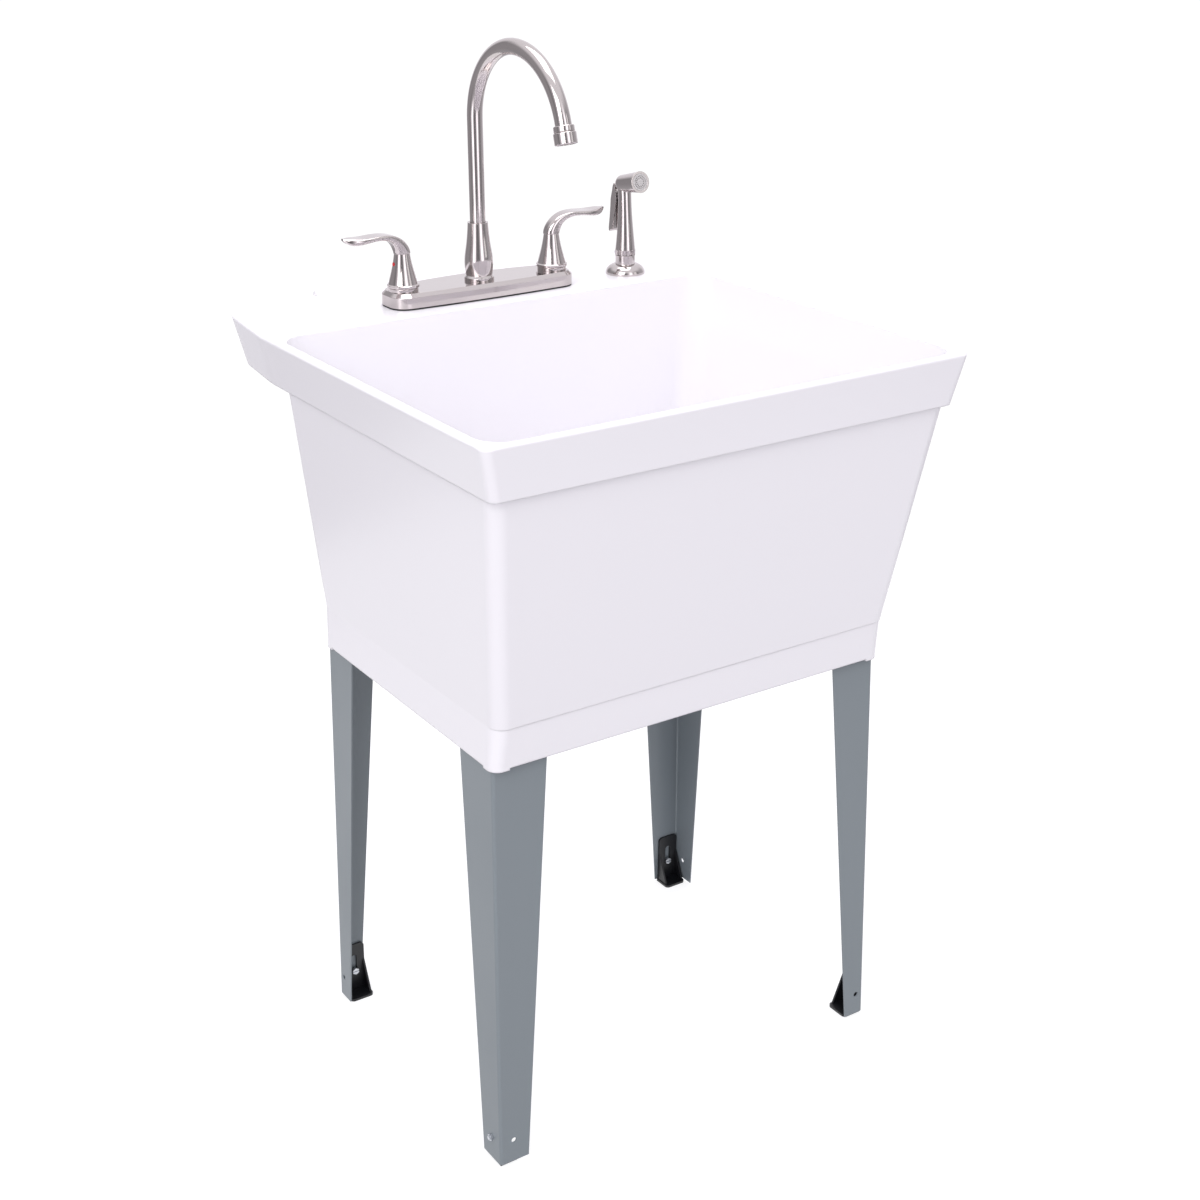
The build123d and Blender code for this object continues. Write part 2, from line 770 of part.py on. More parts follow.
def turned(outline, x, y, base=0.0):
    """A turned piece: its half section, (radius, height) pairs, about an upright line."""
    with BuildPart() as piece:
        with BuildSketch(turning_plane(x, y, base)):
            with BuildLine():
                Polyline(*outline, close=True)
            make_face()
        revolve(axis=upright_axis(x, y))
    return piece.part


waterway_z = body_foot + waterway_lift + waterway_radius
neck_length = ledge_thickness + washer_thickness + shank_nut_height + neck_margin
handles = ((-handle_x, "hot"), (handle_x, "cold"))

with BuildPart(Location((0, faucet_y, deck))) as faucet_body:
    # cross tube, towers for the cartridges and the shanks under them
    with Locations((0, 0, waterway_z)):
        Cylinder(waterway_radius, handle_spacing, rotation=(0, 90, 0))
    upright = (Align.CENTER, Align.CENTER, Align.MIN)
    hanging = (Align.CENTER, Align.CENTER, Align.MAX)
    with Locations((-handle_x, 0, body_foot), (handle_x, 0, body_foot)):
        Cylinder(tower_radius, tower_top - body_foot, align=upright)
    with Locations((-handle_x, 0, tower_bore_foot), (handle_x, 0, tower_bore_foot)):
        Cylinder(shank_radius, tower_bore_foot + shank_length, align=hanging)
        Cylinder(shank_neck, tower_bore_foot + neck_length, align=hanging)
    # spout tower and the boss for the sprayer hose
    with Locations((0, 0, body_foot)):
        Cylinder(spout_tower_radius, spout_tower_top - body_foot, align=upright)
        Cylinder(nipple_boss, body_foot + nipple_boss_length, align=hanging)
    # waterways
    with Locations((0, 0, waterway_z)):
        Cylinder(waterway_bore, handle_spacing, rotation=(0, 90, 0), mode=Mode.SUBTRACT)
    with Locations((-handle_x, 0, tower_bore_foot), (handle_x, 0, tower_bore_foot)):
        Cylinder(tower_bore, tower_top, align=upright, mode=Mode.SUBTRACT)
        Cylinder(shank_bore, 2 * shank_length, align=hanging, mode=Mode.SUBTRACT)
    with Locations((0, 0, spout_tower_bore_foot)):
        Cylinder(spout_tower_bore, spout_tower_top, align=upright, mode=Mode.SUBTRACT)
        Cylinder(spout_port, spout_tower_top, align=hanging, mode=Mode.SUBTRACT)

export(faucet_body.part, "faucet_body")

nipple_place = Location((0, faucet_y, deck - nipple_boss_length))
with BuildPart(nipple_place) as hose_nipple:
    Cylinder(spout_port - thread_clearance, nipple_boss_length, align=upright)
    with BuildSketch(nipple_place):
        RegularPolygon(nipple_hex, 6)
    extrude(amount=-nipple_hex_height)
    Cylinder(nipple_radius, nipple_hex_height + nipple_length, align=hanging)
    Cylinder(nipple_bore, 4 * nipple_length, mode=Mode.SUBTRACT)

export(hose_nipple.part, "sprayer_hose_nipple")

with BuildPart(Location((0, faucet_y, ledge_under))) as shank_washers:
    with Locations((-handle_x, 0, 0), (handle_x, 0, 0)):
        Cylinder(washer_radius, washer_thickness, align=hanging)
        Cylinder(shank_neck + thread_clearance, 3 * washer_thickness, mode=Mode.SUBTRACT)

with BuildPart(Location((0, faucet_y, ledge_under - washer_thickness))) as shank_nuts:
    with Locations((-handle_x, 0, 0), (handle_x, 0, 0)):
        Cylinder(shank_nut_radius, shank_nut_height, align=hanging)
    with Locations((-handle_x, 0, -shank_nut_height), (handle_x, 0, -shank_nut_height)):
        Box(wing_span, wing_thickness, wing_height, align=upright)
    with Locations((-handle_x, 0, 0), (handle_x, 0, 0)):
        Cylinder(shank_neck + thread_clearance, 3 * shank_nut_height, mode=Mode.SUBTRACT)

export(shank_washers.part, "shank_washers")
export(shank_nuts.part, "shank_nuts")


# ------------------------------------------------------------------------ spout

hub_cavity = spout_tower_radius + thread_clearance + spout_nut_wall + seal_clearance
hub_top = hub_outline[-1][1]
with BuildPart() as spout_hub:
    with BuildSketch(turning_plane(0, faucet_y, deck)):
        with BuildLine():
            Line((hub_cavity, plate_top), (hub_flare, plate_top))
            Line((hub_flare, plate_top), (hub_flare, plate_top + hub_flare_height))
            Line((hub_flare, plate_top + hub_flare_height), hub_outline[0])
            Spline(*hub_outline)
            Polyline(hub_outline[-1], (spout_radius + spout_clearance, hub_top),
                     (spout_radius + spout_clearance, hub_top - hub_lip),
                     (hub_cone_radius, hub_cone_top), (hub_cavity, hub_cone_foot),
                     (hub_cavity, plate_top))
        make_face()
    revolve(axis=upright_axis(0, faucet_y))

export(spout_hub.part, "spout_hub")

nut_bore = spout_tower_radius + thread_clearance
nut_outside = nut_bore + spout_nut_wall
collar_room = sleeve_collar + spout_clearance
collar_foot = spout_tower_top + spout_clearance
collar_top = collar_foot + sleeve_collar_height
sleeve_radius = spout_tower_bore - running_clearance
sleeve_bore = spout_radius + thread_clearance
nut_roof = spout_nut_top - spout_nut_lip
spout_nut = turned(
    ((nut_bore, spout_nut_foot), (nut_outside, spout_nut_foot), (nut_outside, spout_nut_top),
     (sleeve_radius + spout_clearance, spout_nut_top), (sleeve_radius + spout_clearance, nut_roof),
     (collar_room, nut_roof), (collar_room, spout_tower_top + seal_clearance),
     (nut_bore, spout_tower_top + seal_clearance)),
    0, faucet_y, deck)
export(spout_nut, "spout_nut")

# tube: straight riser, then two tangent bends in an upright plane
spout_heading = (sin(radians(spout_turn)), -cos(radians(spout_turn)), 0)
spout_side = (-cos(radians(spout_turn)), -sin(radians(spout_turn)), 0)
bend_plane = Plane(origin=(0, faucet_y, deck), x_dir=spout_heading, z_dir=spout_side)
with BuildPart() as spout_tube:
    with BuildLine(bend_plane) as spout_path:
        riser = Line((0, sleeve_foot), (0, spout_rise))
        back_bend = JernArc(riser @ 1, (0, 1), spout_back_radius, -90)
        front_bend = JernArc(back_bend @ 1, (1, 0), spout_front_radius, 90 - spout_end_angle)
        Line(front_bend @ 1, (front_bend @ 1) + (front_bend % 1) * aerator_adapter_length)
    with BuildSketch(Plane.XY.offset(deck + sleeve_foot)):
        with Locations((0, faucet_y)):
            Circle(spout_radius)
            Circle(spout_radius - spout_wall, mode=Mode.SUBTRACT)
    sweep(path=spout_path.line)

export(spout_tube.part, "spout_tube")

ring_heights = (sleeve_foot + o_ring_first, sleeve_foot + o_ring_first + o_ring_pitch)
with BuildPart() as spout_sleeve:
    with BuildSketch(turning_plane(0, faucet_y, deck)):
        with BuildLine():
            Polyline((sleeve_bore, sleeve_foot), (sleeve_radius, sleeve_foot),
                     (sleeve_radius, collar_foot), (sleeve_collar, collar_foot),
                     (sleeve_collar, collar_top), (sleeve_radius, collar_top),
                     (sleeve_radius, hub_cone_foot), (sleeve_bore, hub_cone_foot), close=True)
        make_face()
        for height in ring_heights:
            with Locations((sleeve_radius, height)):
                Rectangle(o_ring_section, 2 * o_ring_section, mode=Mode.SUBTRACT)
    revolve(axis=upright_axis(0, faucet_y))

with BuildPart() as spout_o_rings:
    with BuildSketch(turning_plane(0, faucet_y, deck)):
        for height in ring_heights:
            with Locations((sleeve_radius - o_ring_section / 4, height)):
                Circle(o_ring_section / 4)
    revolve(axis=upright_axis(0, faucet_y))

export(spout_sleeve.part, "spout_sleeve")
export(spout_o_rings.part, "spout_o_rings")

diverter_foot = spout_tower_bore_foot - diverter_height
with BuildPart(Location((0, faucet_y, deck + diverter_foot))) as diverter:
    Cylinder(diverter_radius, diverter_height, align=upright)
    Cylinder(diverter_port, 3 * diverter_height, mode=Mode.SUBTRACT)

export(diverter.part, "diverter")

# aerator, in line with the end of the tube
aerator_plane = Plane(origin=spout_path.line @ 1, z_dir=spout_path.line % 1)


def ring_at(start, length, outside, bore):
    """A plain ring along the spout's outlet, from start."""
    with BuildPart() as ring:
        with BuildSketch(aerator_plane.offset(start)):
            Circle(outside)
            Circle(bore, mode=Mode.SUBTRACT)
        extrude(amount=length)
    return ring.part


thread_radius = aerator_adapter_radius - aerator_wall
with BuildPart() as aerator_adapter:
    add(ring_at(-aerator_adapter_length, aerator_adapter_length, aerator_adapter_radius,
                spout_radius + thread_clearance))
    chamfer(aerator_adapter.edges().filter_by(GeomType.CIRCLE).sort_by(SortBy.RADIUS)[-2:],
            aerator_edge)
    add(ring_at(0, aerator_thread, thread_radius, spout_radius - spout_wall))

with BuildPart() as aerator_housing:
    add(ring_at(seal_clearance, aerator_length, aerator_radius, thread_radius + thread_clearance))
    chamfer(aerator_housing.edges().filter_by(GeomType.CIRCLE).sort_by(SortBy.RADIUS)[-2:],
            aerator_edge)

insert_radius = thread_radius - seal_clearance
with BuildPart() as aerator_insert:
    with BuildSketch(aerator_plane.offset(aerator_length - aerator_insert_length - aerator_recess)):
        Circle(insert_radius)
        with PolarLocations(insert_radius / 2, aerator_holes):
            Circle(aerator_hole, mode=Mode.SUBTRACT)
        with PolarLocations(insert_radius * 3 / 4, aerator_holes):
            Circle(aerator_hole, mode=Mode.SUBTRACT)
    extrude(amount=aerator_insert_length)

export(aerator_adapter.part, "aerator_adapter")
export(aerator_housing.part, "aerator_housing")
export(aerator_insert.part, "aerator_insert")


# ---------------------------------------------------------------------- handles

collar = ((tower_radius + thread_clearance, plate_top), (collar_radius, plate_top),
          (collar_radius, plate_top + collar_height - collar_edge),
          (collar_radius - collar_edge, plate_top + collar_height),
          (tower_radius + thread_clearance, plate_top + collar_height))
base_foot = plate_top + collar_height + handle_gap
seat_top = tower_bore_foot + seat_height
disc_foot = seat_top + running_clearance
disc_top = disc_foot + stem_disc_height
stem_top = handle_screw_seat - handle_gap
cartridge_radius = tower_bore - thread_clearance
cartridge_foot = seat_top + seal_clearance
cavity_top = disc_top + running_clearance
cartridge = ((cartridge_cavity, cartridge_foot), (cartridge_radius, cartridge_foot),
             (cartridge_radius, tower_top + seal_clearance), (cartridge_head, tower_top + seal_clearance),
             (cartridge_head, tower_top + cartridge_head_height),
             (stem_radius + running_clearance, tower_top + cartridge_head_height),
             (stem_radius + running_clearance, cavity_top), (cartridge_cavity, cavity_top))
seat = ((seat_bore, tower_bore_foot), (cartridge_radius, tower_bore_foot),
        (cartridge_radius, seat_top), (seat_bore, seat_top))
stem = ((0, disc_foot), (stem_disc, disc_foot), (stem_disc, disc_top), (stem_radius, disc_top),
        (stem_radius, stem_top), (handle_screw + thread_clearance, stem_top),
        (handle_screw + thread_clearance, stem_top - handle_screw_length),
        (0, stem_top - handle_screw_length))
screw_top = handle_screw_seat + handle_screw_head_height
handle_screw_outline = ((0, stem_top - handle_screw_length), (handle_screw, stem_top - handle_screw_length),
                        (handle_screw, handle_screw_seat), (handle_screw_head, handle_screw_seat),
                        (handle_screw_head, screw_top), (0, screw_top))
bell_top = handle_bell[-1][1]
neck_radius, handle_top = handle_outline[-1]
index_out = handle_outline[-2][0] + index_proud


def make_base(x, outward):
    """The bell under the lever: hollow below, bored for the stem and its screw above."""
    with BuildPart() as base:
        with BuildSketch(turning_plane(x, faucet_y, deck)):
            with BuildLine():
                Polyline((handle_bell_radius, base_foot), (handle_base_radius, base_foot),
                         (handle_base_radius, base_foot + handle_base_height), handle_outline[0])
                Spline(*handle_outline)
                Polyline(handle_outline[-1], (lever_spigot + lever_clearance, handle_top),
                         (lever_spigot + lever_clearance, handle_screw_room),
                         (handle_screw_head + lever_clearance, handle_screw_room),
                         (handle_screw_head + lever_clearance, handle_screw_seat),
                         (handle_screw + lever_clearance, handle_screw_seat),
                         (handle_screw + lever_clearance, stem_top),
                         (stem_radius + thread_clearance, stem_top),
                         (stem_radius + thread_clearance, bell_top), *reversed(handle_bell),
                         (handle_bell_radius, base_foot))
            make_face()
        revolve(axis=upright_axis(x, faucet_y))
        with Locations((x + outward * (index_out - index_depth), faucet_y, deck + index_height)):
            Cylinder(index_radius, index_depth, rotation=(0, outward * 90, 0), align=upright,
                     mode=Mode.SUBTRACT)
    return base.part


def make_index(x, outward):
    """The coloured button set in the bell under the lever."""
    with BuildPart() as button:
        with Locations((x + outward * (index_out - index_depth), faucet_y, deck + index_height)):
            Cylinder(index_radius - thread_clearance, index_depth, rotation=(0, outward * 90, 0),
                     align=upright)
    return button.part


def make_lever(x, outward):
    """The lever: a round neck that bends over into a broad leaf with a full underside."""
    with BuildSketch(Plane((x, faucet_y, deck + handle_top))) as neck:
        RectangleRounded(2 * neck_radius, 2 * neck_radius, lever_roundness * neck_radius)
    sections = [neck.sketch]
    for reach, height, lean, half_width, half_thickness in lever_stations:
        normal = (outward * sin(radians(lean)), 0, cos(radians(lean)))
        place = Plane(origin=(x + outward * reach, faucet_y, deck + height), x_dir=(0, 1, 0),
                      z_dir=normal)
        corner = lever_roundness * min(half_width, half_thickness)
        with BuildSketch(place) as section:
            RectangleRounded(2 * half_width, 2 * half_thickness, corner)
        sections.append(section.sketch)
    with BuildPart() as lever:
        loft(sections)
        with Locations((x, faucet_y, deck + handle_top)):
            Cylinder(lever_spigot, lever_spigot_height, align=hanging)
    return lever.part


for x, name in handles:
    outward = x / handle_x
    export(turned(cartridge, x, faucet_y, deck), name + "_cartridge")
    export(turned(stem, x, faucet_y, deck), name + "_stem")
    export(turned(handle_screw_outline, x, faucet_y, deck), name + "_handle_screw")
    export(make_base(x, outward), name + "_handle_base")
    export(make_lever(x, outward), name + "_lever")
    export(make_index(x, outward), name + "_index_button")

for outline, name in ((collar, "handle_collars"), (seat, "cartridge_seats")):
    with BuildPart() as pair:
        for x, side_name in handles:
            add(turned(outline, x, faucet_y, deck))
    export(pair.part, name)


# ---------------------------------------------------------------- side sprayer

with BuildPart() as holder:
    with BuildSketch(turning_plane(sprayer_offset, faucet_y, deck)):
        with BuildLine():
            Polyline((holder_bore, -holder_shank_length), (holder_shank, -holder_shank_length),
                     (holder_shank, 0), (holder_radius, 0), (holder_radius, holder_edge))
            ThreePointArc((holder_radius, holder_edge), holder_dome_bulge,
                          (holder_dome_radius, holder_dome))
            Polyline((holder_dome_radius, holder_dome), (holder_neck, holder_dome),
                     (holder_neck, holder_neck_top), (holder_bore, holder_neck_top),
                     (holder_bore, -holder_shank_length))
        make_face()
    revolve(axis=upright_axis(sprayer_offset, faucet_y))
export(holder.part, "sprayer_holder")

holder_washer = ((holder_shank + thread_clearance, -ledge_thickness),
                 (holder_washer_radius, -ledge_thickness),
                 (holder_washer_radius, -ledge_thickness - washer_thickness),
                 (holder_shank + thread_clearance, -ledge_thickness - washer_thickness))
export(turned(holder_washer, sprayer_offset, faucet_y, deck), "sprayer_holder_washer")

sprayer_place = Plane((sprayer_offset, faucet_y, deck))
with BuildPart() as holder_nut:
    with BuildSketch(sprayer_place.offset(-ledge_thickness - washer_thickness)):
        RegularPolygon(holder_nut_radius, 6)
        Circle(holder_shank + thread_clearance, mode=Mode.SUBTRACT)
    extrude(amount=-holder_nut_height)
export(holder_nut.part, "sprayer_holder_nut")

# coupling: lugged ring, a tail that drops in the holder, and the hose barb
ring_foot = holder_neck_top + handle_gap
tail_foot = ring_foot - coupling_tail_length
with BuildPart() as coupling:
    with BuildSketch(sprayer_place.offset(ring_foot)):
        Circle(coupling_ring)
        with PolarLocations(coupling_ring, coupling_lugs):
            Rectangle(2 * coupling_lug, coupling_lug_width)
    extrude(amount=coupling_top - ring_foot)
    with BuildSketch(sprayer_place.offset(ring_foot)):
        Circle(coupling_tail)
    extrude(amount=-coupling_tail_length)
    with BuildSketch(sprayer_place.offset(tail_foot)):
        Circle(coupling_barb)
    extrude(amount=-coupling_barb_length)
    with BuildSketch(sprayer_place.offset(coupling_top)):
        Circle(water_bore)
    extrude(amount=-coupling_top - coupling_tail_length - coupling_barb_length,
            mode=Mode.SUBTRACT)
export(coupling.part, "sprayer_coupling")

# body: round grip, ball at the top and a cone to the nozzle
grip_sections = []
for height, back, radius in grip_levels:
    with BuildSketch(sprayer_place.offset(height)) as grip_section:
        with Locations((0, back)):
            Circle(radius)
    grip_sections.append(grip_section.sketch)
head_root = Vector(sprayer_offset, faucet_y + head_root_back, deck + head_root_height)
head_way = Vector(0, -cos(radians(head_tilt)), sin(radians(head_tilt)))
head_plane = Plane(origin=head_root, x_dir=(1, 0, 0), z_dir=head_way)
nozzle_plane = head_plane.offset(head_length - nozzle_depth)
valve_plane = Plane(origin=(sprayer_offset, faucet_y, deck + plunger_height), x_dir=(1, 0, 0),
                    z_dir=(0, 1, 0))
side_plane = Plane(origin=(sprayer_offset, faucet_y, deck), x_dir=(0, 1, 0), z_dir=(1, 0, 0))

with BuildPart() as sprayer_body:
    loft(grip_sections)
    with Locations(head_root):
        Sphere(head_root_radius)
    with BuildSketch(head_plane):
        Circle(head_root_radius)
    with BuildSketch(head_plane.offset(head_length)):
        Circle(head_radius)
    loft()
    # nozzle seat, water passage, valve bore, slot and hole for the trigger
    with BuildSketch(nozzle_plane):
        Circle(nozzle_radius + seal_clearance)
    extrude(amount=head_length, mode=Mode.SUBTRACT)
    with BuildSketch(head_plane):
        Circle(water_bore)
    extrude(amount=head_length, mode=Mode.SUBTRACT)
    with BuildSketch(sprayer_place.offset(coupling_top)):
        Circle(water_bore)
    extrude(amount=head_root_height - coupling_top, mode=Mode.SUBTRACT)
    with BuildSketch(valve_plane.offset(valve_bore_root)):
        Circle(valve_bore)
    extrude(amount=head_root_height, mode=Mode.SUBTRACT)
    with BuildSketch(valve_plane.offset(gland_back - gland_length)):
        Circle(gland_radius)
    extrude(amount=head_root_height, mode=Mode.SUBTRACT)
    with BuildSketch(side_plane):
        with Locations((trigger_pivot_back, trigger_pivot_height)):
            Circle(trigger_lug_radius + trigger_edge)
        with Locations((trigger_pivot_back + head_radius, trigger_pivot_height)):
            Rectangle(2 * head_radius, 2 * (trigger_lug_radius + trigger_edge))
    extrude(amount=trigger_slot / 2, both=True, mode=Mode.SUBTRACT)
    with BuildSketch(side_plane):
        with Locations((trigger_pivot_back, trigger_pivot_height)):
            Circle(trigger_pin)
    extrude(amount=head_radius, both=True, mode=Mode.SUBTRACT)
export(sprayer_body.part, "sprayer_body")

with BuildPart() as nozzle:
    with BuildSketch(nozzle_plane):
        Circle(nozzle_radius)
        with PolarLocations(nozzle_radius / 2, nozzle_holes):
            Circle(nozzle_hole, mode=Mode.SUBTRACT)
    extrude(amount=nozzle_depth)
    with BuildSketch(nozzle_plane.offset(nozzle_depth)):
        Circle(nozzle_ring_radius)
        Circle(nozzle_ring_radius - nozzle_ring_width, mode=Mode.SUBTRACT)
    extrude(amount=-nozzle_ring_depth, mode=Mode.SUBTRACT)
export(nozzle.part, "sprayer_nozzle")

cheek_inside = trigger_width / 2 - trigger_cheek_wall
with BuildPart() as trigger:
    with BuildSketch(side_plane):
        with BuildLine():
            Polyline(*trigger_outline, close=True)
        make_face()
    extrude(amount=trigger_width / 2, both=True)
    fillet(trigger.edges().filter_by(Axis.Z, angle_tolerance).group_by(Axis.Y)[-1], trigger_edge)
    with BuildSketch(side_plane.offset(-trigger_width / 2), side_plane.offset(cheek_inside)):
        with BuildLine():
            Polyline(*trigger_cheek, close=True)
        make_face()
    extrude(amount=trigger_cheek_wall)
    with BuildSketch(side_plane):
        with BuildLine():
            Polyline(*trigger_lug, close=True)
        make_face()
        with Locations((trigger_pivot_back, trigger_pivot_height)):
            Circle(trigger_lug_radius)
    extrude(amount=trigger_lug_width / 2, both=True)
    with BuildSketch(side_plane):
        with Locations((trigger_pivot_back, trigger_pivot_height)):
            Circle(trigger_pin + running_clearance)
    extrude(amount=trigger_width, both=True, mode=Mode.SUBTRACT)
export(trigger.part, "sprayer_trigger")

with BuildPart() as pivot_pin:
    with BuildSketch(side_plane):
        with Locations((trigger_pivot_back, trigger_pivot_height)):
            Circle(trigger_pin)
    extrude(amount=trigger_pin_length / 2, both=True)
export(pivot_pin.part, "sprayer_trigger_pin")

with BuildPart() as plunger:
    with BuildSketch(valve_plane.offset(plunger_root)):
        Circle(plunger_head)
    extrude(amount=plunger_head_length)
    with BuildSketch(valve_plane.offset(plunger_root)):
        Circle(plunger_radius)
    extrude(amount=plunger_tip - plunger_root)
    fillet(plunger.edges().group_by(Axis.Y)[-1], trigger_edge)
export(plunger.part, "sprayer_plunger")

with BuildPart() as gland:
    with BuildSketch(valve_plane.offset(gland_back - gland_length)):
        Circle(gland_radius - thread_clearance)
        Circle(plunger_radius + running_clearance, mode=Mode.SUBTRACT)
    extrude(amount=gland_length)
export(gland.part, "sprayer_gland")

with BuildPart() as spring:
    with BuildLine():
        coil = Helix(spring_pitch, spring_length, spring_radius,
                     center=valve_plane.offset(valve_bore_root + 2 * spring_wire).origin,
                     direction=(0, 1, 0))
    with BuildSketch(Plane(origin=coil @ 0, z_dir=coil % 0)):
        Circle(spring_wire)
    sweep(path=coil, is_frenet=True)
export(spring.part, "sprayer_spring")


# ------------------------------------------------------------------------ drain

# heights from the floor of the recess the flange lies in
drain_z = floor_at_drain - drain_recess
flange_edge = drain_flange - drain_flange_clearance
cone_foot = drain_recess - drain_cone_depth
drain_outline = ((drain_bore, -drain_body_length), (drain_body, -drain_body_length), (drain_body, 0),
                 (flange_edge, 0), (flange_edge, drain_recess - drain_edge),
                 (flange_edge - drain_edge, drain_recess), (drain_cone, drain_recess),
                 (drain_bore, cone_foot))
with BuildPart() as drain_flange_body:
    with BuildSketch(turning_plane(0, drain_y, drain_z)):
        with BuildLine():
            Polyline(*drain_outline, close=True)
        make_face()
    revolve(axis=upright_axis(0, drain_y))
    with BuildSketch(Plane.XY.offset(drain_z + cone_foot - strainer_drop)):
        with Locations((0, drain_y)):
            Rectangle(2 * drain_bore + strainer_bar, strainer_bar)
            Rectangle(strainer_bar, 2 * drain_bore + strainer_bar)
    extrude(amount=-strainer_bar)
export(drain_flange_body.part, "drain_strainer")

drain_pieces = (
    ("drain_gasket", floor_under, drain_gasket_thickness),
    ("drain_washer", floor_under - drain_gasket_thickness, drain_washer_thickness),
)
for name, top, thickness in drain_pieces:
    ring = ((drain_body + thread_clearance, 0), (drain_gasket_radius, 0),
            (drain_gasket_radius, -thickness), (drain_body + thread_clearance, -thickness))
    export(turned(ring, 0, drain_y, top), name)

locknut_top = floor_under - drain_gasket_thickness - drain_washer_thickness
with BuildPart() as drain_locknut:
    with BuildSketch(Plane.XY.offset(locknut_top)):
        with Locations((0, drain_y)):
            RegularPolygon(drain_nut_flat, 6)
            Circle(drain_body + thread_clearance, mode=Mode.SUBTRACT)
    extrude(amount=-drain_nut_height)
export(drain_locknut.part, "drain_locknut")

body_end = drain_z - drain_body_length
washer_outline = ((drain_bore, 0), (tailpiece_flange, 0), (tailpiece_flange, -tailpiece_washer_height),
                  (drain_bore, -tailpiece_washer_height))
export(turned(washer_outline, 0, drain_y, body_end), "tailpiece_washer")

tail_top = body_end - tailpiece_washer_height
tail_bore = tailpiece_radius - tailpiece_wall
neck_foot = tailpiece_flange_height + coupling_nut_lip + neck_margin
tail_outline = ((tail_bore, 0), (tailpiece_flange, 0), (tailpiece_flange, -tailpiece_flange_height),
                (tailpiece_neck, -tailpiece_flange_height), (tailpiece_neck, -neck_foot),
                (tailpiece_radius, -neck_foot), (tailpiece_radius, -tailpiece_length),
                (tail_bore, -tailpiece_length))
export(turned(tail_outline, 0, drain_y, tail_top), "tailpiece")

nut_seat = tail_top - tailpiece_flange_height
nut_base = nut_seat - coupling_nut_lip
thread_bore = drain_body + thread_clearance
with BuildPart() as coupling_nut:
    with BuildSketch(Plane.XY.offset(nut_base)):
        with Locations((0, drain_y)):
            Circle(coupling_nut_radius)
            with PolarLocations(coupling_nut_radius, coupling_nut_ribs):
                Rectangle(coupling_nut_rib, 2 * coupling_nut_rib)
    extrude(amount=coupling_nut_height)
    with BuildSketch(Plane.XY.offset(nut_seat)):
        with Locations((0, drain_y)):
            Circle(thread_bore)
    extrude(amount=coupling_nut_height, mode=Mode.SUBTRACT)
    with BuildSketch(Plane.XY.offset(nut_base)):
        with Locations((0, drain_y)):
            Circle(tailpiece_neck + thread_clearance)
    extrude(amount=coupling_nut_height, mode=Mode.SUBTRACT)
export(coupling_nut.part, "drain_coupling_nut")

mouth_slope = (drain_cone - drain_bore) / drain_cone_depth
plug_foot = cone_foot + drain_recess / 2
plug_top = plug_foot + stopper_height
stem_end = plug_top + stopper_stem_height
stopper_outline = ((0, plug_foot), (drain_cone - mouth_slope * (drain_recess - plug_foot) - stopper_draft,
                                    plug_foot),
                   (drain_cone - stopper_draft, drain_recess), (drain_cone - stopper_draft, plug_top),
                   (stopper_stem, plug_top), (stopper_stem, stem_end), (stopper_knob, stem_end),
                   (stopper_knob, stem_end + stopper_knob_height), (0, stem_end + stopper_knob_height))
export(turned(stopper_outline, 0, drain_y, drain_z), "drain_stopper")
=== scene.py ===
"""Looks for the freestanding utility laundry sink: finishes for its CAD pieces,
the light, the floor and the camera. Lengths are in metres, in the CAD's frame."""

import math

import bpy
from mathutils import Matrix, Vector

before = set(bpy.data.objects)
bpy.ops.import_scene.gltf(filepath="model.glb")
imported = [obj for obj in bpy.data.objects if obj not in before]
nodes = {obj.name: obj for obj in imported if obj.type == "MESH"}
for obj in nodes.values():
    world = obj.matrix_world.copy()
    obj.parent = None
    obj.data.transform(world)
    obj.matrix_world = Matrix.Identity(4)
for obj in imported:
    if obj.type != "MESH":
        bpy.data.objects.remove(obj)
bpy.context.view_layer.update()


# ---- The studio ----------------------------------------------------------------
# A white product table lit from under and around: a pale lit floor, soft light from
# below, a grey surround with two tall bright panels left and right of the camera,
# which draw the long highlights on the metal, and soft lamps over and before the sink.

def linear_colour(hex_code):
    """sRGB hex to linear RGBA: each channel through the sRGB curve's inverse."""
    channels = [int(hex_code[i:i + 2], 16) / 255 for i in (0, 2, 4)]
    return [c / 12.92 if c <= 0.04045 else ((c + 0.055) / 1.055) ** 2.4 for c in channels] + [1.0]


def add_node(tree, kind, settings=None, inputs=None):
    """Adds a node, sets its properties, and sets or links its inputs."""
    node = tree.nodes.new(kind)
    for name, value in (settings or {}).items():
        setattr(node, name, value)
    for name, value in (inputs or {}).items():
        if isinstance(value, bpy.types.NodeSocket):
            tree.links.new(value, node.inputs[name])
        else:
            node.inputs[name].default_value = value
    return node


def new_finish(name, base, metallic, roughness, **sockets):
    """An empty finish: the material, its tree, its shader and Object coordinates."""
    finish = bpy.data.materials.new(name)
    finish.use_nodes = True
    tree = finish.node_tree
    tree.nodes.clear()
    shader = add_node(tree, "ShaderNodeBsdfPrincipled", inputs={
        "Base Color": linear_colour(base), "Metallic": metallic, "Roughness": roughness, **sockets})
    add_node(tree, "ShaderNodeOutputMaterial", inputs={"Surface": shader.outputs["BSDF"]})
    place = add_node(tree, "ShaderNodeTexCoord")
    return finish, tree, shader, place.outputs["Object"]


studio_scene = bpy.context.scene
studio_scene.view_settings.view_transform = "Standard"
studio_scene.view_settings.look = "None"

